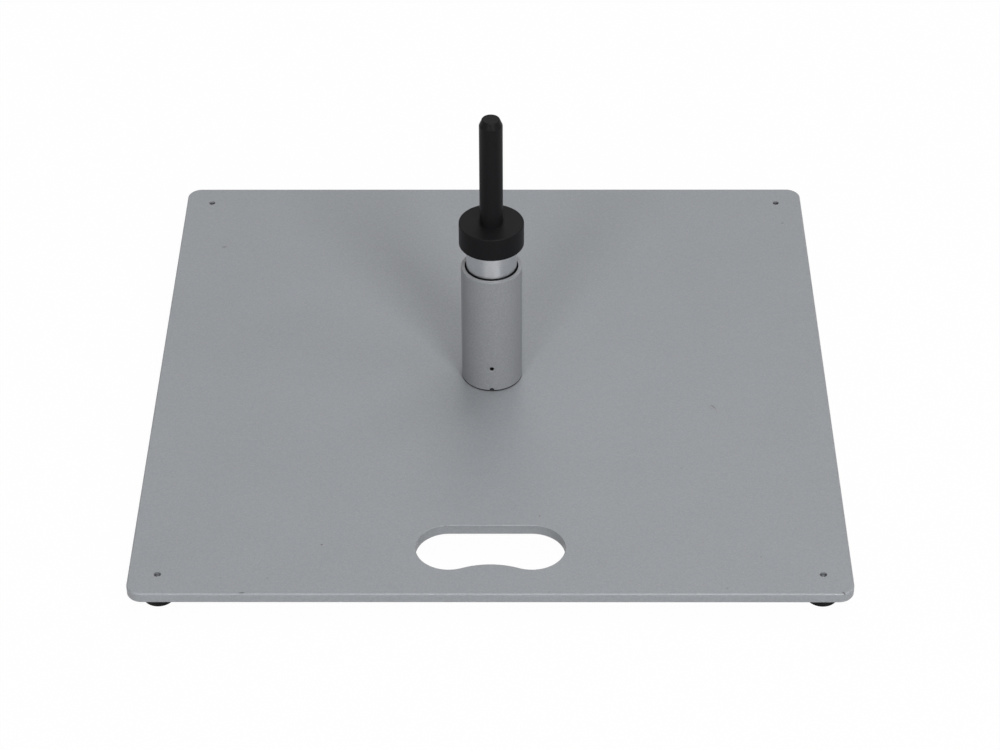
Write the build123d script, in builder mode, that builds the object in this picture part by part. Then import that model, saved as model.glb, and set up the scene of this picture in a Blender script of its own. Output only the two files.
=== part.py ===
"""Floor pedestal with a turning spigot.

A square steel base plate with a hand slot stands on four rubber feet. A socket tube is bolted to the
middle of the plate, and a bearing sleeve stands in the tube and carries the spigot, which turns freely.
Millimetres. The origin is on the floor under the middle of the plate, +Z is up, and the hand slot and
the drain hole are on the -Y side.
"""
from build123d import *
from math import hypot
import os

os.makedirs("parts", exist_ok=True)

# Fits, as radial clearances
running_fit = 0.05          # spindle in its bush
fixed_fit = 0.03            # pieces pressed or pushed home
thread_fit = 0.05           # screw thread in its tapped hole
socket_fit = 1.0            # bearing sleeve standing in the socket tube

# Base plate
plate_side = 500
plate_thickness = 8
plate_corner_radius = 11
plate_edge_break = 0.8      # ground edges round the top

# Hand slot: two round lobes joined by a straight back edge and a bulge in front, for the fingers
slot_lobe_radius = 23.5
slot_lobe_spacing = 57.5
slot_bulge = 5.6            # how far the bulge stands in from the front of the lobes
slot_margin = 25.8          # from the plate's front edge to the front of the lobes

# Rubber feet, each held by a screw through a washer into a tapped hole in the plate
foot_height = 12
foot_diameter = 22
foot_inset = 20.5           # from the plate's edges to the foot's middle
foot_recess_diameter = 13
foot_recess_depth = 8
washer_diameter = 10
washer_thickness = 1
washer_play = 0.15          # between the screw and the washer or the foot
foot_screw_diameter = 5
foot_screw_length = 12
foot_head_width = 8         # across flats
foot_head_height = 3.5

# Socket tube, with a drain hole in front and a half-round weep notch under it
tube_diameter = 45
tube_wall = 3
tube_height = 99
tube_rim_chamfer = 0.8
tube_lip_wall = 1           # wall left where a shadow line is turned into the tube's foot
tube_lip_height = 1.2
drain_diameter = 3

# Plug in the foot of the tube, and the bolt that pulls it down on the plate from below
plug_thickness = 19
bolt_diameter = 10
bolt_length = 25
bolt_play = 0.25            # between the bolt and the plate's hole
bolt_head_width = 17        # across flats
bolt_head_height = 6.4

# Spindle: journal, thrust shoulder, collar seat and tapered pin in one turned piece
journal_diameter = 20
shoulder_diameter = 30
shoulder_thickness = 4
collar_seat_diameter = 18
pin_diameter = 17
pin_tip_diameter = 12.6
pin_tip_length = 5.2
pin_length = 87.75          # from the collar's top to the pin's tip

# Bearing sleeve
sleeve_length = 99.5
sleeve_wall = 3

# Flanged bush, pressed into the sleeve
bush_length = 78
bush_flange_thickness = 2
bush_flange_inset = 0.7     # from the sleeve's rim to the flange's, radial

# Collar: a cap over the shoulder and the bush flange
collar_diameter = 47.5
collar_height = 18
collar_edge = 0.6
collar_gap = 0.7            # between the sleeve's end and the collar
collar_flange_play = 0.5    # round the bush flange

# Retaining ring under the bush
axial_play = 0.3            # between the ring and the bush
ring_thickness = 1.5
ring_groove_depth = 0.75
ring_band = 2.6
ring_gap = 5
spindle_tail = 3            # below the retaining ring

# Radii and heights that follow from these sizes
tube_radius = tube_diameter / 2
tube_bore_radius = tube_radius - tube_wall
sleeve_radius = tube_bore_radius - socket_fit
sleeve_bore_radius = sleeve_radius - sleeve_wall
bush_radius = sleeve_bore_radius - fixed_fit
bush_bore_radius = journal_diameter / 2 + running_fit
flange_radius = sleeve_radius - bush_flange_inset
foot_pitch = plate_side - 2 * foot_inset

plate_top = foot_height + plate_thickness
tube_top = plate_top + tube_height
plug_top = plate_top + plug_thickness
drain_level = plug_top + drain_diameter / 2
sleeve_top = plug_top + sleeve_length
flange_top = sleeve_top + bush_flange_thickness
shoulder_top = flange_top + shoulder_thickness
collar_bottom = sleeve_top + collar_gap
collar_top = collar_bottom + collar_height
pin_top = collar_top + pin_length
bush_bottom = sleeve_top - bush_length
ring_top = bush_bottom - axial_play
ring_bottom = ring_top - ring_thickness
spindle_bottom = ring_bottom - spindle_tail

corners = {"front_left": (-1, -1), "front_right": (1, -1), "rear_left": (-1, 1), "rear_right": (1, 1)}


def foot_plane(corner, height):
    """A level plane over one corner's foot."""
    side_x, side_y = corners[corner]
    return Plane((side_x * foot_pitch / 2, side_y * foot_pitch / 2, height))


# Base plate: cut from 8 mm steel, with the hand slot near its front edge, a hole for the socket bolt in
# its middle and four tapped holes for the feet.
slot_y = slot_margin + slot_lobe_radius - plate_side / 2
bulge_top = slot_lobe_radius - slot_bulge
bulge_radius = ((slot_lobe_spacing / 2) ** 2 + bulge_top**2 - slot_lobe_radius**2) / (2 * slot_bulge)
tangent = slot_lobe_radius / hypot(slot_lobe_spacing / 2, bulge_radius + bulge_top)
tangent_x = slot_lobe_spacing / 2 * (1 - tangent)
tangent_y = slot_y - tangent * (bulge_radius + bulge_top)

with BuildPart() as base_plate:
    with BuildSketch(Plane.XY.offset(foot_height)):
        RectangleRounded(plate_side, plate_side, plate_corner_radius)
        with BuildLine() as slot_outline:
            back = Line((-slot_lobe_spacing / 2, slot_y + slot_lobe_radius),
                        (slot_lobe_spacing / 2, slot_y + slot_lobe_radius))
            right = ThreePointArc(back @ 1, (slot_lobe_spacing / 2 + slot_lobe_radius, slot_y),
                                  (tangent_x, tangent_y))
            bulge = ThreePointArc(right @ 1, (0, slot_y - bulge_top), (-tangent_x, tangent_y))
            ThreePointArc(bulge @ 1, (-slot_lobe_spacing / 2 - slot_lobe_radius, slot_y), back @ 0)
        make_face(mode=Mode.SUBTRACT)
    extrude(amount=plate_thickness)
    chamfer(base_plate.edges().group_by(Axis.Z)[-1], plate_edge_break)
    with BuildSketch(Plane.XY.offset(foot_height)):
        with GridLocations(foot_pitch, foot_pitch, 2, 2):
            Circle(foot_screw_diameter / 2)
        Circle(bolt_diameter / 2 + bolt_play)
    extrude(amount=plate_thickness, mode=Mode.SUBTRACT)
base_plate.part.label = "base_plate"
export_step(base_plate.part, "parts/base_plate.step")


# Socket tube: steel tube standing on the plate, the edge of its top rim broken, and its foot turned down
# to a lip, which leaves a dark line between the tube and the plate.
with BuildPart() as socket_tube:
    with BuildSketch(Plane.XY.offset(plate_top)):
        Circle(tube_bore_radius + tube_lip_wall)
    extrude(amount=tube_lip_height)
    with BuildSketch(Plane.XY.offset(plate_top + tube_lip_height)):
        Circle(tube_radius)
    extrude(amount=tube_height - tube_lip_height)
    chamfer(socket_tube.edges().group_by(Axis.Z)[-1], tube_rim_chamfer)
    with BuildSketch(Plane.XY.offset(plate_top)):
        Circle(tube_bore_radius)
    extrude(amount=tube_height, mode=Mode.SUBTRACT)
    with BuildSketch(Plane.XZ):
        with Locations((0, drain_level), (0, plate_top)):
            Circle(drain_diameter / 2)
    extrude(amount=tube_diameter, mode=Mode.SUBTRACT)
socket_tube.part.label = "socket_tube"
export_step(socket_tube.part, "parts/socket_tube.step")


# Socket plug: a steel disc welded into the foot of the tube, tapped for the bolt. The drain hole
# opens just above it.
with BuildPart() as socket_plug:
    with BuildSketch(Plane.XY.offset(plate_top)):
        Circle(tube_bore_radius - fixed_fit)
        Circle(bolt_diameter / 2, mode=Mode.SUBTRACT)
    extrude(amount=plug_thickness)
socket_plug.part.label = "socket_plug"
export_step(socket_plug.part, "parts/socket_plug.step")


# Socket bolt: hexagon head under the plate, shorter than the feet, and the thread up into the plug.
with BuildPart() as socket_bolt:
    with BuildSketch(Plane.XY.offset(foot_height - bolt_head_height)):
        RegularPolygon(bolt_head_width / 2, 6, major_radius=False)
    extrude(amount=bolt_head_height)
    with BuildSketch(Plane.XY.offset(foot_height)):
        Circle(bolt_diameter / 2 - thread_fit)
    extrude(amount=bolt_length)
socket_bolt.part.label = "socket_bolt"
export_step(socket_bolt.part, "parts/socket_bolt.step")


# Bearing sleeve: turned aluminium tube, standing loose in the socket tube on the plug.
with BuildPart() as bearing_sleeve:
    with BuildSketch(Plane.XY.offset(plug_top)):
        Circle(sleeve_radius)
        Circle(sleeve_bore_radius, mode=Mode.SUBTRACT)
    extrude(amount=sleeve_length)
bearing_sleeve.part.label = "bearing_sleeve"
export_step(bearing_sleeve.part, "parts/bearing_sleeve.step")


# Bush: bronze, its flange on the sleeve's end, where the spindle's shoulder runs on it.
with BuildPart() as bush:
    with BuildSketch(Plane.XY.offset(sleeve_top)):
        Circle(flange_radius)
    extrude(amount=bush_flange_thickness)
    with BuildSketch(Plane.XY.offset(bush_bottom)):
        Circle(bush_radius)
    extrude(amount=bush_length)
    with BuildSketch(Plane.XY.offset(bush_bottom)):
        Circle(bush_bore_radius)
    extrude(amount=bush_length + bush_flange_thickness, mode=Mode.SUBTRACT)
bush.part.label = "bush"
export_step(bush.part, "parts/bush.step")


# Spigot: one turned steel spindle. The journal runs in the bush, the shoulder carries the load on the
# bush's flange, the seat above it holds the collar, and the pin takes the mast, with a lead-in taper at
# its tip.
journal_radius = journal_diameter / 2
shoulder_radius = shoulder_diameter / 2
seat_radius = collar_seat_diameter / 2
pin_radius = pin_diameter / 2
groove_radius = journal_radius - ring_groove_depth
with BuildPart() as spigot:
    with BuildSketch(Plane.XZ):
        with BuildLine():
            Polyline(
                (0, spindle_bottom),
                (journal_radius, spindle_bottom),
                (journal_radius, ring_bottom),
                (groove_radius, ring_bottom),
                (groove_radius, ring_top),
                (journal_radius, ring_top),
                (journal_radius, flange_top),
                (shoulder_radius, flange_top),
                (shoulder_radius, shoulder_top),
                (seat_radius, shoulder_top),
                (seat_radius, collar_top),
                (pin_radius, collar_top),
                (pin_radius, pin_top - pin_tip_length),
                (pin_tip_diameter / 2, pin_top),
                (0, pin_top),
                close=True,
            )
        make_face()
    revolve(axis=Axis.Z)
spigot.part.label = "spigot"
export_step(spigot.part, "parts/spigot.step")


# Collar: a black moulded cap pushed down over the pin onto its seat and the shoulder. It turns with the
# spindle, and its skirt hangs clear round the shoulder and the bush flange, just over the sleeve.
skirt_radius = flange_radius + collar_flange_play
with BuildPart() as collar:
    with BuildSketch(Plane.XY.offset(collar_bottom)):
        Circle(collar_diameter / 2)
    extrude(amount=collar_height)
    chamfer(collar.edges().group_by(Axis.Z)[-1], collar_edge)
    for radius, ceiling in ((skirt_radius, shoulder_top), (seat_radius + fixed_fit, collar_top)):
        with BuildSketch(Plane.XY.offset(collar_bottom)):
            Circle(radius)
        extrude(amount=ceiling - collar_bottom, mode=Mode.SUBTRACT)
collar.part.label = "collar"
export_step(collar.part, "parts/collar.step")


# Retaining ring: an open spring ring in the spindle's groove, which stops it lifting out of the bush.
ring_inner_radius = groove_radius + fixed_fit
with BuildPart() as retaining_ring:
    with BuildSketch(Plane.XY.offset(ring_bottom)):
        Circle(ring_inner_radius + ring_band)
        Circle(ring_inner_radius, mode=Mode.SUBTRACT)
        with Locations((0, -ring_inner_radius - ring_band / 2)):
            Rectangle(ring_gap, 2 * ring_band, mode=Mode.SUBTRACT)
    extrude(amount=ring_thickness)
retaining_ring.part.label = "retaining_ring"
export_step(retaining_ring.part, "parts/retaining_ring.step")


# Feet: moulded rubber pads, each with a recess below for its screw's head. A steel washer lies at the
# top of the recess, and a hexagon-head screw goes up through it into the plate.
head_top = foot_recess_depth - washer_thickness
screw_hole_radius = foot_screw_diameter / 2 + washer_play
for corner in corners:
    with BuildPart() as foot:
        with BuildSketch(foot_plane(corner, 0)):
            Circle(foot_diameter / 2)
            Circle(foot_recess_diameter / 2, mode=Mode.SUBTRACT)
        extrude(amount=foot_recess_depth)
        with BuildSketch(foot_plane(corner, foot_recess_depth)):
            Circle(foot_diameter / 2)
            Circle(screw_hole_radius, mode=Mode.SUBTRACT)
        extrude(amount=foot_height - foot_recess_depth)
    foot.part.label = f"foot_{corner}"
    export_step(foot.part, f"parts/foot_{corner}.step")

    with BuildPart() as foot_washer:
        with BuildSketch(foot_plane(corner, head_top)):
            Circle(washer_diameter / 2)
            Circle(screw_hole_radius, mode=Mode.SUBTRACT)
        extrude(amount=washer_thickness)
    foot_washer.part.label = f"foot_washer_{corner}"
    export_step(foot_washer.part, f"parts/foot_washer_{corner}.step")

    with BuildPart() as foot_screw:
        with BuildSketch(foot_plane(corner, head_top - foot_head_height)):
            RegularPolygon(foot_head_width / 2, 6, major_radius=False)
        extrude(amount=foot_head_height)
        with BuildSketch(foot_plane(corner, head_top)):
            Circle(foot_screw_diameter / 2 - thread_fit)
        extrude(amount=foot_screw_length)
    foot_screw.part.label = f"foot_screw_{corner}"
    export_step(foot_screw.part, f"parts/foot_screw_{corner}.step")
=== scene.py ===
"""Looks of the floor pedestal: a powder-coated steel base plate with a hand slot, and a socket tube whose
bearing sleeve carries a black spigot that turns. Metres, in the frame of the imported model: the origin is
on the floor under the middle of the plate, +Z is up, and the hand slot is on the -Y side."""
from math import atan2, hypot, pi, radians, tau

import bmesh
import bpy
from mathutils import Matrix, Vector


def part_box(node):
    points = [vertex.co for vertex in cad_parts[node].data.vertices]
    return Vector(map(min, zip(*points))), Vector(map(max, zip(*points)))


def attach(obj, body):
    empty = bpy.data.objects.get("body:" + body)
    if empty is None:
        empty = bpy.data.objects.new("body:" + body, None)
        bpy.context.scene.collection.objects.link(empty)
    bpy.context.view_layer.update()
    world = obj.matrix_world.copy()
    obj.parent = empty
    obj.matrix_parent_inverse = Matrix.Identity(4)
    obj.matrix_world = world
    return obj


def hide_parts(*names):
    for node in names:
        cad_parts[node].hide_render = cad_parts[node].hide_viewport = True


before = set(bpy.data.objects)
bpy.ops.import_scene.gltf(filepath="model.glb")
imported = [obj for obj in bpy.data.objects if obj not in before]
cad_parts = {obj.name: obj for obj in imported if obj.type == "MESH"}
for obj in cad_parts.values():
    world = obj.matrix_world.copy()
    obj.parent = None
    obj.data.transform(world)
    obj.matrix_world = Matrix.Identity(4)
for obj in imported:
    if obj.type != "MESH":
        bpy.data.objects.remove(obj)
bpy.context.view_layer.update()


# Base plate: one square of 8 mm steel, laser cut, with a kidney-shaped hand slot near its front edge, four
# holes for the feet's screws and one for the tube's bolt. Its rims are ground round, and a silver-grey
# powder coat is baked over the lot.
mm = 0.001
plate_low, plate_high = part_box("base_plate")
plate_corner_radius = 11 * mm
plate_rim_radius = 1.3 * mm
slot_rim_radius = 0.5 * mm
hole_rim_radius = 0.45 * mm
arc_step = radians(4)

slot_lobe_radius = 23.5 * mm
slot_half_spacing = 28.75 * mm
slot_bulge = 5.6 * mm
slot_setback = 25.8 * mm
slot_y = plate_low.y + slot_setback + slot_lobe_radius

foot_low, foot_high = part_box("foot_front_left")
foot_reach = abs(foot_low.x + foot_high.x) / 2
corners = {"front_left": (-1, -1), "front_right": (1, -1), "rear_left": (-1, 1), "rear_right": (1, 1)}
foot_hole_radius = 2.5 * mm
bolt_hole_radius = 5.25 * mm

coat_grain_width = 1.2 * mm
coat_cloud_width = 60 * mm
coat_peel_width = 1.4 * mm
coat_peel_depth = 0.03 * mm
fray_width = 0.8 * mm
mark_height = 1.2 * mm
# A thin ring of painted shade on the plate, under the tube's foot.
foot_shade_radius = 22.1 * mm
foot_shade_width = 0.4 * mm
foot_shade_flatness = 0.05


def linear(code):
    """A hex colour, turned from sRGB to the linear values that shaders take."""
    shades = [int(code[place:place + 2], 16) / 255 for place in (1, 3, 5)]
    return (*(s / 12.92 if s <= 0.04045 else ((s + 0.055) / 1.055) ** 2.4 for s in shades), 1)


def add(tree, kind, inputs=None, **settings):
    """Adds a shader node with its settings. An input takes a value, or the output that feeds it."""
    node = tree.nodes.new("ShaderNode" + kind)
    for name, setting in settings.items():
        setattr(node, name, setting)
    for name, given in (inputs or {}).items():
        if isinstance(given, bpy.types.NodeSocket):
            tree.links.new(given, node.inputs[name])
        else:
            node.inputs[name].default_value = given
    return node


def start_finish(name, **values):
    """Starts a material, and returns it with its nodes, its shader and the place on the object that it
    reads. A value is for the shader's socket of that name."""
    finish = bpy.data.materials.new(name)
    finish.use_nodes = True
    surface = finish.node_tree.nodes["Principled BSDF"]
    for socket, value in values.items():
        surface.inputs[socket.replace("_", " ")].default_value = value
    place = add(finish.node_tree, "TexCoord").outputs["Object"]
    return finish, finish.node_tree, surface, place


def draw_outline(bm, arcs):
    """Draws arcs, each as centre, start and turn, and joins each to the next with a straight edge."""
    ends = []
    for centre, start, turn in arcs:
        first = bm.verts.new(start)
        steps = round(abs(turn) / arc_step)
        swept = bmesh.ops.spin(bm, geom=[first], cent=centre, axis=(0, 0, 1), angle=turn, steps=steps)
        ends.append((first, swept["geom_last"][0]))
    for (_, last), (first, _) in zip(ends, ends[1:] + ends[:1]):
        bm.edges.new((last, first))


def round_off(bm, rims, radius, segments):
    """Rounds the rims' sharp edges off."""
    bmesh.ops.bevel(bm, geom=rims, offset=radius, offset_type="OFFSET", segments=segments, profile=0.5,
                    affect="EDGES", material=-1, clamp_overlap=True)


def fit_piece(name, bm, finishes, body, slot, *nodes):
    """Makes the mesh a piece of the object, which stands for its plain nodes and rides on their body.
    Its flats stay flat and its roundings smooth."""
    mesh = bpy.data.meshes.new(name)
    for face in bm.faces:
        face.smooth = True
    bm.to_mesh(mesh)
    bm.free()
    mesh.set_sharp_from_angle(angle=radians(35))
    for finish in finishes:
        mesh.materials.append(finish)
    piece = bpy.data.objects.new(name, mesh)
    bpy.context.scene.collection.objects.link(piece)
    flats = piece.modifiers.new("flats", "WEIGHTED_NORMAL")
    flats.keep_sharp = True
    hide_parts(*nodes)
    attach(piece, body)


plate_mesh = bmesh.new()
corner_arcs = []
for quarter in range(4):
    turned = Matrix.Rotation(quarter * pi / 2, 4, "Z")
    reach = plate_high.x - plate_corner_radius
    centre = turned @ Vector((reach, -reach, plate_low.z))
    start = turned @ Vector((reach, plate_low.y, plate_low.z))
    corner_arcs.append((centre, start, pi / 2))
draw_outline(plate_mesh, corner_arcs)

bulge_rise = slot_lobe_radius - slot_bulge
bulge_radius = (slot_half_spacing**2 + bulge_rise**2 - slot_lobe_radius**2) / (2 * slot_bulge)
bulge_lean = atan2(slot_half_spacing, bulge_rise + bulge_radius)
bulge_centre = Vector((0, slot_y - bulge_rise - bulge_radius, plate_low.z))
right_lobe = Vector((slot_half_spacing, slot_y, plate_low.z))
left_lobe = Vector((-slot_half_spacing, slot_y, plate_low.z))
right_tangent = bulge_centre + Matrix.Rotation(-bulge_lean, 4, "Z") @ Vector((0, bulge_radius, 0))
left_tangent = bulge_centre + Matrix.Rotation(bulge_lean, 4, "Z") @ Vector((0, bulge_radius, 0))
draw_outline(plate_mesh, [
    (right_lobe, right_lobe + Vector((0, slot_lobe_radius, 0)), -pi - bulge_lean),
    (bulge_centre, right_tangent, 2 * bulge_lean),
    (left_lobe, left_tangent, -pi - bulge_lean),
])
for side_x, side_y in corners.values():
    bmesh.ops.create_circle(plate_mesh, segments=48, radius=foot_hole_radius, matrix=Matrix.Translation(
        (side_x * foot_reach, side_y * foot_reach, plate_low.z)))
bmesh.ops.create_circle(plate_mesh, segments=64, radius=bolt_hole_radius,
                        matrix=Matrix.Translation((0, 0, plate_low.z)))
bmesh.ops.remove_doubles(plate_mesh, verts=plate_mesh.verts, dist=0.01 * mm)
bmesh.ops.triangle_fill(plate_mesh, edges=plate_mesh.edges, use_beauty=True)
bmesh.ops.dissolve_limit(plate_mesh, verts=plate_mesh.verts, edges=plate_mesh.edges,
                         angle_limit=radians(0.5))
risen = bmesh.ops.extrude_face_region(plate_mesh, geom=plate_mesh.faces[:])
bmesh.ops.translate(plate_mesh, vec=(0, 0, plate_high.z - plate_low.z),
                    verts=[item for item in risen["geom"] if isinstance(item, bmesh.types.BMVert)])
bmesh.ops.recalc_face_normals(plate_mesh, faces=plate_mesh.faces)

# Each rim is told by where it lies. The plate's front edge comes near the slot too, and is left out there.
hole_rims, slot_rims, plate_rims = [], [], []
front_edge = plate_low.y + 2 * plate_rim_radius
for edge in plate_mesh.edges:
    if edge.calc_face_angle(0) > radians(60) and abs(edge.verts[0].co.z - edge.verts[1].co.z) < mm:
        middle = (edge.verts[0].co + edge.verts[1].co) / 2
        at_foot = hypot(abs(middle.x) - foot_reach, abs(middle.y) - foot_reach) < 2 * foot_hole_radius
        at_bolt = hypot(middle.x, middle.y) < 2 * bolt_hole_radius
        at_slot = hypot(abs(middle.x) - slot_half_spacing, middle.y - slot_y) < 2 * slot_lobe_radius
        if at_foot or at_bolt:
            hole_rims.append(edge)
        elif at_slot and middle.y > front_edge:
            slot_rims.append(edge)
        else:
            plate_rims.append(edge)
round_off(plate_mesh, plate_rims, plate_rim_radius, 5)
round_off(plate_mesh, [edge for edge in slot_rims if edge.is_valid], slot_rim_radius, 4)
round_off(plate_mesh, [edge for edge in hole_rims if edge.is_valid], hole_rim_radius, 3)


def powder_coat(name, light, dark, smooth=0.28, dull=0.42):
    """Fine silver-grey powder coat: grains of powder that melted into a satin skin with a slight
    orange peel, a little cloudy over a hand's breadth. Grains and peel are drawn wider than the real
    ones, so that they show."""
    finish, tree, surface, place = start_finish(name, IOR=1.5, Specular_IOR_Level=0.36)
    grain = add(tree, "TexNoise", {"Vector": place, "Scale": 1 / coat_grain_width, "Detail": 4.0})
    cloud = add(tree, "TexNoise", {"Vector": place, "Scale": 1 / coat_cloud_width, "Detail": 3.0})
    faint = add(tree, "MapRange", {"Value": cloud.outputs["Fac"], "To Min": -0.08, "To Max": 0.08})
    both = add(tree, "Math", {0: grain.outputs["Fac"], 1: faint.outputs[0]}, operation="ADD")
    share = add(tree, "MapRange", {"Value": both.outputs[0], "From Min": 0.3, "From Max": 0.7})
    colour = add(tree, "MixRGB", {"Fac": share.outputs[0], "Color1": linear(dark), "Color2": linear(light)})
    tree.links.new(colour.outputs[0], surface.inputs["Base Color"])
    gloss = add(tree, "MapRange", {"Value": grain.outputs["Fac"], "To Min": smooth, "To Max": dull})
    tree.links.new(gloss.outputs[0], surface.inputs["Roughness"])
    peel = add(tree, "TexNoise", {"Vector": place, "Scale": 1 / coat_peel_width, "Detail": 2.0})
    bump = add(tree, "Bump", {"Height": peel.outputs["Fac"], "Strength": 0.25, "Distance": coat_peel_depth})
    tree.links.new(bump.outputs[0], surface.inputs["Normal"])
    return finish


def bruise_and_shade_foot(finish, marks):
    """Bruises the plate's coat with the marks of use, where it is darker and duller, and paints a thin ring
    of shade round the tube's foot, under its lip, which is darker and duller too: painted shade. A mark is
    its middle, length and width in mm, its turn in degrees and its depth from 0 to 1. Its edge is ragged,
    as in a coat that is scuffed and not cut. The ring counts heights many times over, and a mark has a
    height of its own, so both stay at the plate's top."""
    tree = finish.node_tree
    surface = tree.nodes["Principled BSDF"]
    place = add(tree, "TexCoord").outputs["Object"]
    ragged = add(tree, "TexNoise", {"Vector": place, "Scale": 1 / fray_width, "Detail": 3.0})
    fray = add(tree, "MapRange", {"Value": ragged.outputs["Fac"], "To Min": -0.35, "To Max": 0.35})
    # Painted shade: a thin ring under the tube's lip, darker and duller, is mixed in with the marks.
    on_top = add(tree, "Mapping", {"Vector": place, "Location": (0, 0, plate_high.z),
                                   "Scale": (1, 1, foot_shade_flatness)}, vector_type="TEXTURE")
    reach = add(tree, "VectorMath", {0: on_top.outputs[0]}, operation="LENGTH")
    uneven = add(tree, "Math", {0: fray.outputs[0], 1: foot_shade_width, 2: reach.outputs["Value"]},
                 operation="MULTIPLY_ADD")
    foot_shade = add(tree, "MapRange", {"Value": uneven.outputs[0], "From Min": foot_shade_radius + foot_shade_width,
                                  "From Max": foot_shade_radius, "To Max": 0.9})
    deepest = foot_shade.outputs[0]
    for x, y, length, width, turn, depth in marks:
        spot = add(tree, "Mapping", {
            "Vector": place, "Location": (x * mm, y * mm, plate_high.z), "Rotation": (0, 0, radians(turn)),
            "Scale": (length / 2 * mm, width / 2 * mm, mark_height)}, vector_type="TEXTURE")
        off = add(tree, "VectorMath", {0: spot.outputs[0]}, operation="LENGTH")
        frayed = add(tree, "Math", {0: off.outputs["Value"], 1: fray.outputs[0]}, operation="ADD")
        mark = add(tree, "MapRange", {"Value": frayed.outputs[0], "From Min": 1.2, "From Max": 0.7,
                                      "To Max": depth})
        deepest = add(tree, "Math", {0: deepest, 1: mark.outputs[0]}, operation="MAXIMUM").outputs[0]
    coat = surface.inputs["Base Color"].links[0].from_socket
    tone = add(tree, "MixRGB", {"Fac": deepest, "Color1": coat, "Color2": linear("#3C3D3F")})
    tree.links.new(tone.outputs[0], surface.inputs["Base Color"])
    satin = surface.inputs["Roughness"].links[0].from_socket
    dulled = add(tree, "Math", {0: deepest, 1: 0.35, 2: satin}, operation="MULTIPLY_ADD")
    tree.links.new(dulled.outputs[0], surface.inputs["Roughness"])


plate_finish = powder_coat("powder_coated_steel_plate", "#96999D", "#8B8E92")
# On the rounded rims the coat is burnished smoother, and its colour is set a little lighter as a painted
# highlight.
rim_finish = powder_coat("powder_coat_burnished_with_painted_highlight_on_rims", "#9C9FA3", "#919498", 0.14, 0.24)
# A curved scuff where something was dragged, specks where the coat is nicked, a smudge, and chips on the
# front edge and on the hand slot's, where the plate has been knocked and held.
scuff = [(160.9, -38.2, 4.0, 0.9, -31, 0.1), (164.0, -41.0, 6.4, 1.3, -54, 0.4),
         (166.0, -46.6, 6.3, 0.8, -86, 0.12), (162.2, -42.2, 6.5, 4.0, -50, 0.07)]
specks = [(232.8, 200.4, 2.4, 2.0, 0, 0.3), (34.6, -166.9, 1.5, 1.4, 0, 0.5),
          (-185.7, -233.2, 1.6, 1.6, 0, 0.22), (-153.2, -233.4, 1.5, 1.4, 0, 0.28),
          (-117.8, -198.1, 1.6, 1.5, 0, 0.65), (187.9, -211.0, 1.7, 1.2, -40, 0.3),
          (162.6, -243.6, 1.6, 1.5, 0, 0.3), (137.2, -113.3, 1.4, 1.4, 0, 0.25),
          (166.9, -95.4, 1.6, 1.2, 0, 0.12), (105.5, -78.1, 2.2, 1.2, -35, 0.12)]
smudge = (-214.6, 166.6, 4.2, 2.0, 8, 0.35)
chips = [(-170.0, -248.6, 4.2, 1.5, 3, 0.55), (242.2, -248.9, 4.4, 1.1, -40, 0.7)]
slot_chips = [(-31.5, -177.8, 2.6, 1.2, 0, 0.5), (-17.1, -177.8, 2.0, 1.0, 0, 0.5),
              (-8.0, -178.2, 2.6, 1.2, 0, 0.6)]
# Both coats take the marks of use and the painted shade round the tube's foot.
for finish in (plate_finish, rim_finish):
    bruise_and_shade_foot(finish, [*scuff, *specks, smudge, *chips, *slot_chips])

# Faces that slope between flat and upright are the rounded rims, which take the burnished coat with its
# painted highlight.
flattest_rim, steepest_rim = 0.97, 0.1
for face in plate_mesh.faces:
    face.material_index = int(steepest_rim < face.normal.z < flattest_rim)
fit_piece("floor_plate", plate_mesh, [plate_finish, rim_finish], "base", "plate_paint", "base_plate")


# Socket tube: seamless steel tube in the same coat as the plate, standing on the middle of the plate. Its
# colour is set a shade darker than the plate's, as painted shade. Its top rim is rounded, its foot is turned
# down to a lip, which leaves a dark line above the plate, and water leaves it through a drilled hole in front
# and a half-round notch in its foot.
tube_low, tube_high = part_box("socket_tube")
tube_radius = tube_high.x
tube_wall = 3 * mm
tube_bore_radius = tube_radius - tube_wall
tube_lip_radius = tube_bore_radius + 1 * mm
tube_lip_top = tube_low.z + 1.2 * mm
tube_rim_radius = 0.9 * mm
tube_bore_rim_radius = 0.35 * mm
tube_foot_rim_radius = 0.15 * mm
drain_radius = 1.5 * mm
drain_flare = 0.6 * mm
drain_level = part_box("socket_plug")[1].z + drain_radius
notch_level = tube_low.z + 1.2 * mm


def turn_on_lathe(profile, steps, centre=(0, 0)):
    """Spins a half section, given as radius and height from foot to top, once round its upright axis.
    A section that starts and ends on the axis makes a solid piece, and any other is closed on itself."""
    bm = bmesh.new()
    points = [bm.verts.new((centre[0] + radius, centre[1], height)) for radius, height in profile]
    lines = [bm.edges.new(pair) for pair in zip(points, points[1:])]
    if profile[0][0] or profile[-1][0]:
        lines.append(bm.edges.new((points[-1], points[0])))
    bmesh.ops.spin(bm, geom=points + lines, cent=(*centre, 0), axis=(0, 0, 1), angle=tau, steps=steps,
                   use_merge=True)
    bmesh.ops.remove_doubles(bm, verts=bm.verts, dist=0.001 * mm)
    bmesh.ops.recalc_face_normals(bm, faces=bm.faces)
    return bm


def rims_at(bm, *places):
    """The ring edges that lie at one of the places, each given as radius and height."""
    found = []
    for edge in bm.edges:
        spots = [(hypot(v.co.x, v.co.y), v.co.z) for v in edge.verts]
        if any(all(hypot(r - radius, z - height) < 0.01 * mm for r, z in spots) for radius, height in places):
            found.append(edge)
    return found


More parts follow.
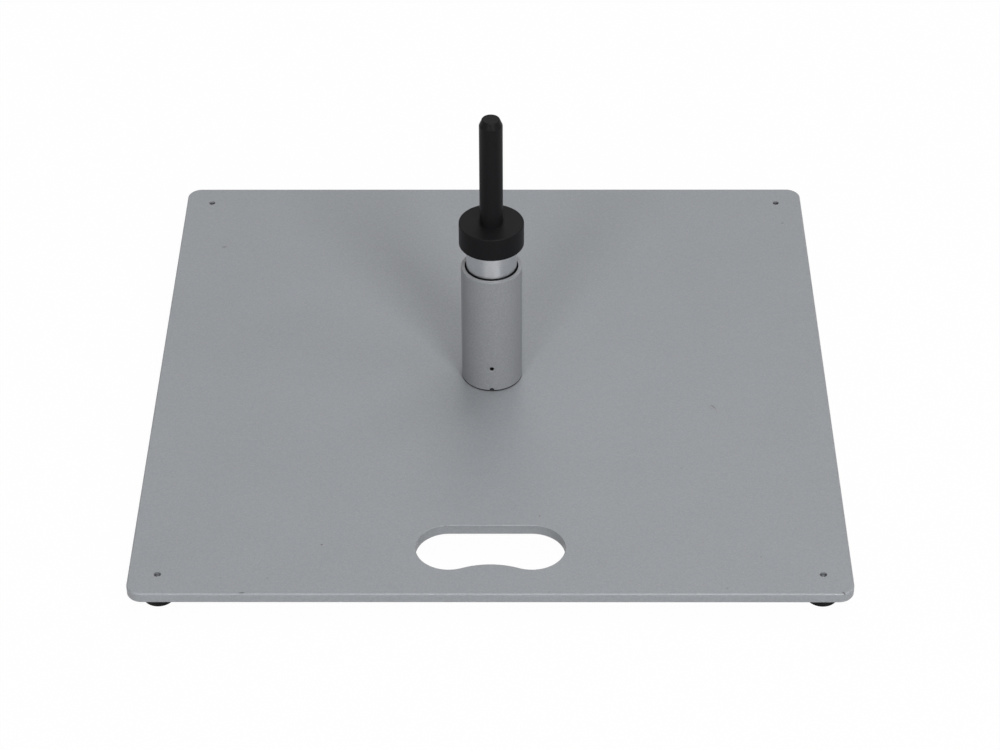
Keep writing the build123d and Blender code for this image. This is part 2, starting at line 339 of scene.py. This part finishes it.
def combine(bm, tool, operation):
    """Cuts the tool's shape out of a mesh, joins the two, or keeps what they share, and uses both up."""
    blocks = []
    for part in (bm, tool):
        mesh = bpy.data.meshes.new("blank")
        part.to_mesh(mesh)
        part.free()
        blocks.append(bpy.data.objects.new("blank", mesh))
        bpy.context.scene.collection.objects.link(blocks[-1])
    cut = blocks[0].modifiers.new("cut", "BOOLEAN")
    cut.operation = operation
    cut.object = blocks[1]
    result = bmesh.new()
    result.from_object(blocks[0], bpy.context.evaluated_depsgraph_get())
    for block in blocks:
        bpy.data.meshes.remove(block.data)
    return result


tube_mesh = turn_on_lathe([
    (tube_bore_radius, tube_low.z), (tube_lip_radius, tube_low.z), (tube_lip_radius, tube_lip_top),
    (tube_radius, tube_lip_top), (tube_radius, tube_high.z), (tube_bore_radius, tube_high.z),
], steps=160)
round_off(tube_mesh, rims_at(tube_mesh, (tube_radius, tube_high.z)), tube_rim_radius, 5)
round_off(tube_mesh, rims_at(tube_mesh, (tube_bore_radius, tube_high.z)), tube_bore_rim_radius, 3)
round_off(tube_mesh, rims_at(tube_mesh, (tube_radius, tube_lip_top)), tube_foot_rim_radius, 2)
for level in (drain_level, notch_level):
    drill = turn_on_lathe([
        (0, 0), (drain_radius, 0), (drain_radius, tube_radius - drain_flare),
        (drain_radius + drain_flare, tube_radius), (drain_radius + drain_flare, 2 * tube_radius),
        (0, 2 * tube_radius),
    ], steps=48)
    bmesh.ops.transform(drill, verts=drill.verts, matrix=Matrix.Translation((0, 0, level))
                        @ Matrix.Rotation(pi / 2, 4, "X"))
    tube_mesh = combine(tube_mesh, drill, "DIFFERENCE")


def mill_scale_and_shade(name):
    """Mill scale on rolled steel: a blue-black oxide skin, dull with oil, worn browner in patches. Its
    tones are near black, so that it also stands for the shade in the recesses where it lies, as painted
    shade.
    """
    finish, tree, surface, place = start_finish(name, Specular_IOR_Level=0.2)
    patch_width = 4 * mm
    patches = add(tree, "TexNoise", {"Vector": place, "Scale": 1 / patch_width, "Detail": 5.0})
    tone = add(tree, "MixRGB", {"Fac": patches.outputs["Fac"], "Color1": linear("#17181A"),
                                "Color2": linear("#2B2623")})
    tree.links.new(tone.outputs[0], surface.inputs["Base Color"])
    gloss = add(tree, "MapRange", {"Value": patches.outputs["Fac"], "To Min": 0.5, "To Max": 0.75})
    tree.links.new(gloss.outputs[0], surface.inputs["Roughness"])
    return finish


# The coat covers the outside, the top rim and the holes' flares. The lip, the holes and the bore are bare
# steel, and their near-black finish is also painted shade in these recesses.
hair = 0.1 * mm
for face in tube_mesh.faces:
    middle = face.calc_center_median()
    reach = hypot(middle.x, middle.y)
    in_lip = middle.z < tube_lip_top + hair and reach < tube_radius - 2 * hair
    level = min((drain_level, notch_level), key=lambda height: abs(middle.z - height))
    in_hole = abs(middle.z - level) < drain_radius and reach < tube_radius - 0.8 * drain_flare
    in_bore = reach < tube_bore_radius + hair
    face.material_index = int(in_lip or in_hole or in_bore)
fit_piece("mast_tube", tube_mesh, [
    powder_coat("powder_coat_shaded_darker_on_tube", "#929497", "#86888B"), mill_scale_and_shade("mill_scale_and_painted_shade_in_tube_recesses"),
], "base", "tube_paint", "socket_tube")


# Socket plug: a disc of plain turned steel welded into the foot of the tube and tapped for the bolt.
# It is dull grey, with the fine rings of the lathe on it.
def turned_metal(name, colour, roughness, ring_pitch, ring_depth, anisotropy=0.0):
    """Turned metal: fine rings round the axis, which spread its shine up and down into upright bands.
    The rings are a noise drawn out along the surface, and wider than a lathe's, so that they show."""
    finish, tree, surface, place = start_finish(
        name, Metallic=1.0, Roughness=roughness, Anisotropic=anisotropy)
    along = add(tree, "Tangent", direction_type="RADIAL", axis="Z")
    tree.links.new(along.outputs[0], surface.inputs["Tangent"])
    stretched = add(tree, "Mapping", {"Vector": place, "Scale": (0.15, 0.15, 1)})
    rings = add(tree, "TexNoise", {"Vector": stretched.outputs[0], "Scale": 1 / ring_pitch, "Detail": 2.0})
    shade = add(tree, "MapRange", {"Value": rings.outputs["Fac"], "From Min": 0.25, "From Max": 0.75,
                                   "To Min": 0.86, "To Max": 1.0})
    tone = add(tree, "MixRGB", {"Fac": 1.0, "Color1": linear(colour), "Color2": shade.outputs[0]},
               blend_type="MULTIPLY")
    tree.links.new(tone.outputs[0], surface.inputs["Base Color"])
    bump = add(tree, "Bump", {"Height": rings.outputs["Fac"], "Strength": 0.5, "Distance": ring_depth})
    tree.links.new(bump.outputs[0], surface.inputs["Normal"])
    return finish


def dress_node(node, finish):
    """Gives a node that keeps its plain shape its finish."""
    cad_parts[node].material_slots[0].material = finish


dress_node("socket_plug", turned_metal("plain_turned_steel", "#4A4B4E", roughness=0.5,
                                       ring_pitch=0.5 * mm, ring_depth=0.01 * mm))


# Socket bolt: a zinc-plated hexagon bolt, put up through the plate from below into the plug. Its head has
# the chamfer of a cold-formed one, and its shank a rolled thread.
def hexagon_bolt(node, head_width, head_height, thread_radius, pitch):
    """A hexagon bolt that stands on its head, as high as its node: head, thread and pointed end."""
    low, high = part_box(node)
    centre = ((low.x + high.x) / 2, (low.y + high.y) / 2)
    head_top = low.z + head_height
    corner_radius = head_width / 3**0.5
    face_radius, face_chamfer = 0.47 * head_width, 0.055 * head_width
    bearing_radius, bearing_chamfer = 0.5 * head_width, 0.03 * head_width
    root_radius = thread_radius - 0.61 * pitch
    buried_radius = root_radius - 0.1 * pitch
    point = 0.6 * pitch
    steps_per_turn = 24

    bolt = bmesh.new()
    hexagon = bmesh.ops.create_circle(bolt, cap_ends=True, segments=6, radius=corner_radius,
                                      matrix=Matrix.Translation((*centre, low.z)))
    bmesh.ops.rotate(bolt, verts=hexagon["verts"], cent=(*centre, 0),
                     matrix=Matrix.Rotation(pi / 6, 3, "Z"))
    top = bmesh.ops.extrude_face_region(bolt, geom=bolt.faces[:])
    bmesh.ops.translate(bolt, vec=(0, 0, head_height),
                        verts=[item for item in top["geom"] if isinstance(item, bmesh.types.BMVert)])
    bmesh.ops.recalc_face_normals(bolt, faces=bolt.faces)
    bolt = combine(bolt, turn_on_lathe([
        (0, low.z), (face_radius, low.z), (corner_radius, low.z + face_chamfer),
        (corner_radius, head_top - bearing_chamfer), (bearing_radius, head_top), (0, head_top),
    ], steps=96, centre=centre), "INTERSECT")

    core = turn_on_lathe([
        (0, head_top - pitch), (root_radius, head_top - pitch), (root_radius, high.z), (0, high.z),
    ], steps=48, centre=centre)
    ridge = bmesh.new()
    flanks = [ridge.verts.new((centre[0] + radius, centre[1], head_top - pitch + rise * pitch))
              for radius, rise in ((buried_radius, 0.05), (thread_radius, 0.5), (buried_radius, 0.95))]
    section = ridge.faces.new(flanks)
    turns = round((high.z - head_top) / pitch) + 1
    bmesh.ops.spin(ridge, geom=[section, *section.edges, *section.verts], cent=(*centre, 0),
                   axis=(0, 0, 1), dvec=(0, 0, pitch / steps_per_turn), angle=tau * turns,
                   steps=steps_per_turn * turns)
    bmesh.ops.recalc_face_normals(ridge, faces=ridge.faces)
    shank = combine(combine(core, ridge, "UNION"), turn_on_lathe([
        (0, head_top - pitch / 2), (thread_radius, head_top - pitch / 2),
        (thread_radius, high.z - point), (thread_radius - point, high.z), (0, high.z),
    ], steps=48, centre=centre), "INTERSECT")
    return combine(bolt, shank, "UNION")


def zinc_plate(name):
    """Bright zinc plate: a cool shine, a little cloudy, with the grain of the formed steel under it."""
    finish, tree, surface, place = start_finish(name, Metallic=1.0)
    cloud_width = 1.5 * mm
    cloud = add(tree, "TexNoise", {"Vector": place, "Scale": 1 / cloud_width, "Detail": 4.0})
    tone = add(tree, "MixRGB", {"Fac": cloud.outputs["Fac"], "Color1": linear("#94989D"),
                                "Color2": linear("#B0B3B6")})
    tree.links.new(tone.outputs[0], surface.inputs["Base Color"])
    gloss = add(tree, "MapRange", {"Value": cloud.outputs["Fac"], "To Min": 0.3, "To Max": 0.48})
    tree.links.new(gloss.outputs[0], surface.inputs["Roughness"])
    return finish


def paint_shade_band(finish, lit_height, shaded_height, depth):
    """Darkens a finish with painted shade. It is unshaded at one height and shaded to the given depth at
    another, and the shade between them ends in a ragged edge."""
    tree = finish.node_tree
    surface = tree.nodes["Principled BSDF"]
    place = add(tree, "TexCoord").outputs["Object"]
    rag_width, rag_height = 1.5 * mm, 0.6 * mm
    ragged = add(tree, "TexNoise", {"Vector": place, "Scale": 1 / rag_width, "Detail": 3.0})
    height = add(tree, "SeparateXYZ", {0: place}).outputs["Z"]
    uneven = add(tree, "Math", {0: ragged.outputs["Fac"], 1: rag_height, 2: height}, operation="MULTIPLY_ADD")
    share = add(tree, "MapRange", {"Value": uneven.outputs[0], "From Min": lit_height + rag_height / 2,
                                   "From Max": shaded_height + rag_height / 2, "To Max": depth})
    bright = surface.inputs["Base Color"].links[0].from_socket
    tone = add(tree, "MixRGB", {"Fac": share.outputs[0], "Color1": bright, "Color2": linear("#1C1B1A")})
    tree.links.new(tone.outputs[0], surface.inputs["Base Color"])


# Painted shade darkens the zinc near the plate's top, where the feet's screws end just under it, down in
# their holes.
zinc = zinc_plate("bright_zinc_plated_steel")
paint_shade_band(zinc, lit_height=plate_high.z - 4 * mm, shaded_height=plate_high.z - 2 * mm, depth=0.45)
bolt_mesh = hexagon_bolt("socket_bolt", head_width=17 * mm, head_height=6.4 * mm, thread_radius=4.95 * mm,
                         pitch=1.5 * mm)
fit_piece("socket_bolt_threaded", bolt_mesh, [zinc], "base", "zinc_steel", "socket_bolt")


# Bearing sleeve: turned aluminium tube, standing on the plug a millimetre clear of the socket tube, so that
# a dark ring shows round it. Lathe rings spread its shine into upright bands, and painted shade with a
# painted reflection of the gap darkens it just above where it comes out of the tube.
sleeve_low, sleeve_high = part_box("bearing_sleeve")
sleeve_radius = sleeve_high.x
sleeve_wall = 3 * mm
sleeve_bore_radius = sleeve_radius - sleeve_wall
sleeve_rim_radius = 0.4 * mm
sleeve_mesh = turn_on_lathe([
    (sleeve_bore_radius, sleeve_low.z), (sleeve_radius, sleeve_low.z),
    (sleeve_radius, sleeve_high.z), (sleeve_bore_radius, sleeve_high.z),
], steps=160)
round_off(sleeve_mesh, rims_at(sleeve_mesh, (sleeve_radius, sleeve_low.z), (sleeve_radius, sleeve_high.z)),
          sleeve_rim_radius, 3)
aluminium = turned_metal("turned_aluminium", "#E6E7E9", roughness=0.3, ring_pitch=0.35 * mm,
                         ring_depth=0.01 * mm, anisotropy=0.62)
# Painted shade and reflection: the sleeve darkens towards the tube's rim.
paint_shade_band(aluminium, lit_height=tube_high.z + 2.3 * mm, shaded_height=tube_high.z, depth=0.65)
fit_piece("turned_sleeve", sleeve_mesh, [aluminium], "base", "turned_aluminium", "bearing_sleeve")


# Bush: sintered bronze, pressed into the sleeve with its flange on the end. The skin is matt, with fine
# dark pores that hold the oil.
def sintered_bronze(name):
    """Sintered bronze: a warm, matt skin of pressed grains, with dark pores between them. The pores are
    drawn 0.6 mm apart, wider than the real ones, so that they show."""
    finish, tree, surface, place = start_finish(name, Metallic=1.0, Roughness=0.48)
    pore_spacing = 0.6 * mm
    pores = add(tree, "TexVoronoi", {"Vector": place, "Scale": 1 / pore_spacing})
    depth = add(tree, "MapRange", {"Value": pores.outputs["Distance"], "From Min": 0.05, "From Max": 0.3})
    tone = add(tree, "MixRGB", {"Fac": depth.outputs[0], "Color1": linear("#6B4F2C"),
                                "Color2": linear("#B08D57")})
    tree.links.new(tone.outputs[0], surface.inputs["Base Color"])
    bump = add(tree, "Bump", {"Height": depth.outputs[0], "Strength": 0.3, "Distance": 0.02 * mm})
    tree.links.new(bump.outputs[0], surface.inputs["Normal"])
    return finish


dress_node("bush", sintered_bronze("sintered_bronze"))


# Spigot: one turned steel spindle, finished black. Its tapered pin takes the mast, its shoulder runs on
# the bush's flange, and its journal goes down through the bush to a groove for the retaining ring.
spigot_low, spigot_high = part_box("spigot")
collar_low, collar_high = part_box("collar")
ring_low, ring_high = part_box("retaining_ring")
flange_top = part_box("bush")[1].z
journal_radius = 10 * mm
groove_radius = 9.25 * mm
shoulder_radius = spigot_high.x
shoulder_top = flange_top + 4 * mm
seat_radius = 9 * mm
pin_radius = 8.5 * mm
tip_radius = 6.3 * mm
taper_foot = spigot_high.z - 5.2 * mm
spigot_rim_radius = 0.5 * mm
seat_rim_radius = 0.2 * mm
spigot_mesh = turn_on_lathe([
    (0, spigot_low.z), (journal_radius, spigot_low.z), (journal_radius, ring_low.z),
    (groove_radius, ring_low.z), (groove_radius, ring_high.z), (journal_radius, ring_high.z),
    (journal_radius, flange_top), (shoulder_radius, flange_top), (shoulder_radius, shoulder_top),
    (seat_radius, shoulder_top), (seat_radius, collar_high.z), (pin_radius, collar_high.z),
    (pin_radius, taper_foot), (tip_radius, spigot_high.z), (0, spigot_high.z),
], steps=96)
round_off(spigot_mesh, rims_at(spigot_mesh, (tip_radius, spigot_high.z), (pin_radius, taper_foot),
                               (journal_radius, spigot_low.z), (shoulder_radius, shoulder_top)),
          spigot_rim_radius, 4)
round_off(spigot_mesh, rims_at(spigot_mesh, (seat_radius, collar_high.z)), seat_rim_radius, 2)


def black_finish(name, specular, roughness, grain_width, grain_depth):
    """A black finish with a low, even sheen: fine grain breaks up what it reflects."""
    finish, tree, surface, place = start_finish(name, Specular_IOR_Level=specular)
    grain = add(tree, "TexNoise", {"Vector": place, "Scale": 1 / grain_width, "Detail": 4.0})
    tone = add(tree, "MixRGB", {"Fac": grain.outputs["Fac"], "Color1": linear("#161617"),
                                "Color2": linear("#1B1B1D")})
    tree.links.new(tone.outputs[0], surface.inputs["Base Color"])
    gloss = add(tree, "MapRange", {"Value": grain.outputs["Fac"], "To Min": roughness - 0.06,
                                   "To Max": roughness + 0.06})
    tree.links.new(gloss.outputs[0], surface.inputs["Roughness"])
    bump = add(tree, "Bump", {"Height": grain.outputs["Fac"], "Strength": 0.4, "Distance": grain_depth})
    tree.links.new(bump.outputs[0], surface.inputs["Normal"])
    return finish


black_coat = black_finish("black_coated_steel", specular=0.075, roughness=0.36, grain_width=0.5 * mm,
                          grain_depth=0.012 * mm)
fit_piece("turned_spigot", spigot_mesh, [black_coat], "spindle", "black_coat", "spigot")


# Collar: a cap moulded in black plastic, pushed down over the pin onto its seat. Its skirt hangs round
# the shoulder and the bush's flange, and its top rim is rounded. It is a shade duller than the spigot.
collar_radius = collar_high.x
skirt_clearance = 0.5 * mm
skirt_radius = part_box("bush")[1].x + skirt_clearance
seat_clearance = 0.03 * mm
collar_bore_radius = seat_radius + seat_clearance
collar_top_rim_radius = 0.7 * mm
collar_rim_radius = 0.3 * mm
collar_mesh = turn_on_lathe([
    (skirt_radius, collar_low.z), (collar_radius, collar_low.z), (collar_radius, collar_high.z),
    (collar_bore_radius, collar_high.z), (collar_bore_radius, shoulder_top), (skirt_radius, shoulder_top),
], steps=160)
round_off(collar_mesh, rims_at(collar_mesh, (collar_radius, collar_high.z)), collar_top_rim_radius, 5)
round_off(collar_mesh, rims_at(collar_mesh, (collar_radius, collar_low.z), (skirt_radius, collar_low.z),
                               (collar_bore_radius, collar_high.z)), collar_rim_radius, 3)
black_plastic = black_finish("moulded_black_plastic", specular=0.065, roughness=0.42, grain_width=0.7 * mm,
                             grain_depth=0.02 * mm)
fit_piece("moulded_collar", collar_mesh, [black_plastic], "spindle", "black_moulding", "collar")


# Retaining ring: stamped from spring steel with a phosphate finish, and sprung into the spigot's groove
# below the bush, where it keeps the spindle from lifting out.
def phosphate(name):
    """Phosphated steel: dark grey and matt, with the faint sparkle of its crystals."""
    finish, tree, surface, place = start_finish(name, Metallic=1.0, Roughness=0.5)
    crystal_width = 0.3 * mm
    crystals = add(tree, "TexVoronoi", {"Vector": place, "Scale": 1 / crystal_width})
    tone = add(tree, "MixRGB", {"Fac": crystals.outputs["Distance"], "Color1": linear("#2E2E30"),
                                "Color2": linear("#57585A")})
    tree.links.new(tone.outputs[0], surface.inputs["Base Color"])
    return finish


dress_node("retaining_ring", phosphate("phosphated_spring_steel"))


# Feet: black rubber pads under the four corners, moulded with a rounded tread edge. In each, a
# zinc-plated washer and hexagon screw, put in from below, hold it to the plate.
foot_radius = (foot_high.x - foot_low.x) / 2
foot_rim_radius = 0.4 * mm
recess_radius = 6.5 * mm
recess_depth = 8 * mm
screw_hole_radius = 2.65 * mm


def moulded_rubber(name):
    """Black rubber: matt, a little dusty where it has stood on floors, with a fine moulded skin."""
    finish, tree, surface, place = start_finish(name, Specular_IOR_Level=0.15)
    grain_width, dust_width = 0.8 * mm, 6 * mm
    skin = add(tree, "TexNoise", {"Vector": place, "Scale": 1 / grain_width, "Detail": 4.0})
    dust = add(tree, "TexNoise", {"Vector": place, "Scale": 1 / dust_width, "Detail": 5.0})
    share = add(tree, "MapRange", {"Value": dust.outputs["Fac"], "From Min": 0.45, "From Max": 0.8})
    tone = add(tree, "MixRGB", {"Fac": share.outputs[0], "Color1": linear("#111111"),
                                "Color2": linear("#1D1C1C")})
    tree.links.new(tone.outputs[0], surface.inputs["Base Color"])
    gloss = add(tree, "MapRange", {"Value": skin.outputs["Fac"], "To Min": 0.62, "To Max": 0.8})
    tree.links.new(gloss.outputs[0], surface.inputs["Roughness"])
    bump = add(tree, "Bump", {"Height": skin.outputs["Fac"], "Strength": 0.4, "Distance": 0.04 * mm})
    tree.links.new(bump.outputs[0], surface.inputs["Normal"])
    return finish


rubber = moulded_rubber("moulded_black_rubber")
foot_mesh = turn_on_lathe([
    (recess_radius, foot_low.z), (foot_radius, foot_low.z), (foot_radius, foot_high.z),
    (screw_hole_radius, foot_high.z), (screw_hole_radius, recess_depth), (recess_radius, recess_depth),
], steps=96)
round_off(foot_mesh, rims_at(foot_mesh, (foot_radius, foot_low.z), (foot_radius, foot_high.z),
                             (recess_radius, foot_low.z)), foot_rim_radius, 4)
screw_mesh = hexagon_bolt("foot_screw_front_left", head_width=8 * mm, head_height=3.5 * mm,
                          thread_radius=2.45 * mm, pitch=0.8 * mm)
bmesh.ops.translate(screw_mesh, verts=screw_mesh.verts, vec=(foot_reach, foot_reach, 0))
for corner, (side_x, side_y) in corners.items():
    for kind, mesh, finish, slot in (("foot", foot_mesh, rubber, "foot_rubber"),
                                     ("foot_screw", screw_mesh, zinc, "zinc_steel")):
        piece_mesh = mesh.copy()
        bmesh.ops.translate(piece_mesh, verts=piece_mesh.verts,
                            vec=(side_x * foot_reach, side_y * foot_reach, 0))
        fit_piece(f"{kind}_{corner}_finished", piece_mesh, [finish], "base", slot, f"{kind}_{corner}")
    dress_node(f"foot_washer_{corner}", zinc)
foot_mesh.free()
screw_mesh.free()


# Floor: a plain white sheet, far wider than the object. From above it is seen as evenly lit, with only a
# trace of the object's shadow, and from below it is clear, so that the underside shows.
floor_radius = 60
floor_glow = 0.98
white_in_mirror = 0.5


def white_if_seen(tree):
    """One for what is seen straight or through a clear thing, half in a reflection, otherwise nought."""
    rays = add(tree, "LightPath")
    mirrored = add(tree, "Math", {0: rays.outputs["Is Glossy Ray"], 1: white_in_mirror}, operation="MULTIPLY")
    seen = add(tree, "Math", {0: rays.outputs["Is Camera Ray"], 1: mirrored.outputs[0]},
               operation="MAXIMUM")
    return add(tree, "Math", {0: seen.outputs[0], 1: rays.outputs["Is Transmission Ray"]},
               operation="MAXIMUM").outputs[0]


bpy.ops.mesh.primitive_circle_add(vertices=64, radius=floor_radius, fill_type="NGON")
floor = bpy.context.object
floor.name = "floor"
white = bpy.data.materials.new("plain_white_floor")
white.use_nodes = True
tree = white.node_tree
tree.nodes["Principled BSDF"].inputs["Base Color"].default_value = linear("#DCDCDC")
tree.nodes["Principled BSDF"].inputs["Roughness"].default_value = 0.9
share = add(tree, "Math", {0: white_if_seen(tree), 1: floor_glow}, operation="MULTIPLY")
glow = add(tree, "Emission", {"Strength": 1.0})
mixed = add(tree, "MixShader", {0: share.outputs[0]})
tree.links.new(tree.nodes["Principled BSDF"].outputs[0], mixed.inputs[1])
tree.links.new(glow.outputs[0], mixed.inputs[2])
from_below = add(tree, "MixShader", {0: add(tree, "NewGeometry").outputs["Backfacing"]})
tree.links.new(mixed.outputs[0], from_below.inputs[1])
tree.links.new(add(tree, "BsdfTransparent").outputs[0], from_below.inputs[2])
tree.links.new(from_below.outputs[0], tree.nodes["Material Output"].inputs["Surface"])
floor.data.materials.append(white)


# Studio: a white room, which lights the object only dimly. Two tall soft boxes stand beside the camera, the
# stronger one on its right, a wide one hangs overhead, and four more fill the front, the right and the
# back. The last is a long strip, which shows only in reflections, as a bright line along rounded rims.
room_light = 0.04
room = bpy.data.worlds.new("room")
room.use_nodes = True
tree = room.node_tree
seen = white_if_seen(tree)
strength = add(tree, "MapRange", {"Value": seen, "To Min": room_light, "To Max": 1.0})
tree.links.new(strength.outputs[0], tree.nodes["Background"].inputs["Strength"])
tree.nodes["Background"].inputs["Color"].default_value = (1, 1, 1, 1)
bpy.context.scene.world = room
plate_centre = Vector((0, 0, plate_high.z))
box_distance = 9.0


def hang_soft_box(name, azimuth, elevation, width, height, power):
    """Hangs a soft box that faces the object. Azimuth 0 is on the camera's side, and 90 on the right.
    Width and height are in metres, and power in watts."""
    lamp = bpy.data.lights.new(name, "AREA")
    lamp.shape = "RECTANGLE"
    lamp.size = width
    lamp.size_y = height
    lamp.energy = power
    box = bpy.data.objects.new(name, lamp)
    bpy.context.scene.collection.objects.link(box)
    out = (Matrix.Rotation(radians(azimuth), 4, "Z") @ Matrix.Rotation(-radians(elevation), 4, "X")
           @ Vector((0, -box_distance, 0)))
    box.matrix_world = (Matrix.Translation(plate_centre + out)
                        @ out.to_track_quat("Z", "Y").to_matrix().to_4x4())
    box.visible_camera = False
    return box


hang_soft_box("right_box", 26, 30, 2.4, 4.4, 343)
hang_soft_box("left_box", -22, 28, 2.0, 3.2, 210)
hang_soft_box("high_box", 12, 52, 4.5, 3.0, 85)
hang_soft_box("side_box", 75, 35, 3.0, 3.2, 54)
hang_soft_box("top_box", 0, 90, 7.2, 7.2, 225)
hang_soft_box("rear_right_box", 150, 65, 4.5, 4.5, 185)
hang_soft_box("rear_box", 180, 45, 4.8, 3.6, 55)
rim_box = hang_soft_box("rim_box", 7, 42, 4.2, 1.2, 260)
rim_box.visible_diffuse = False


# Camera: two metres off in front of the hand slot, with a long lens, looking down at the plate. It is
# turned a hair to the left, and tilted a hair to the right.
camera_place = (0.0160, -1.7412, 1.3406)
camera_turn = radians(0.332)
camera_rise = radians(52.786)
camera_tilt = radians(-0.199)
lens = bpy.data.cameras.new("camera")
lens.lens = 104.63
lens.sensor_width = 36
camera = bpy.data.objects.new("camera", lens)
bpy.context.scene.collection.objects.link(camera)
camera.matrix_world = (Matrix.Translation(camera_place) @ Matrix.Rotation(camera_turn, 4, "Z")
                       @ Matrix.Rotation(camera_rise, 4, "X") @ Matrix.Rotation(camera_tilt, 4, "Z"))
bpy.context.scene.camera = camera
bpy.context.scene.view_settings.view_transform = "Standard"
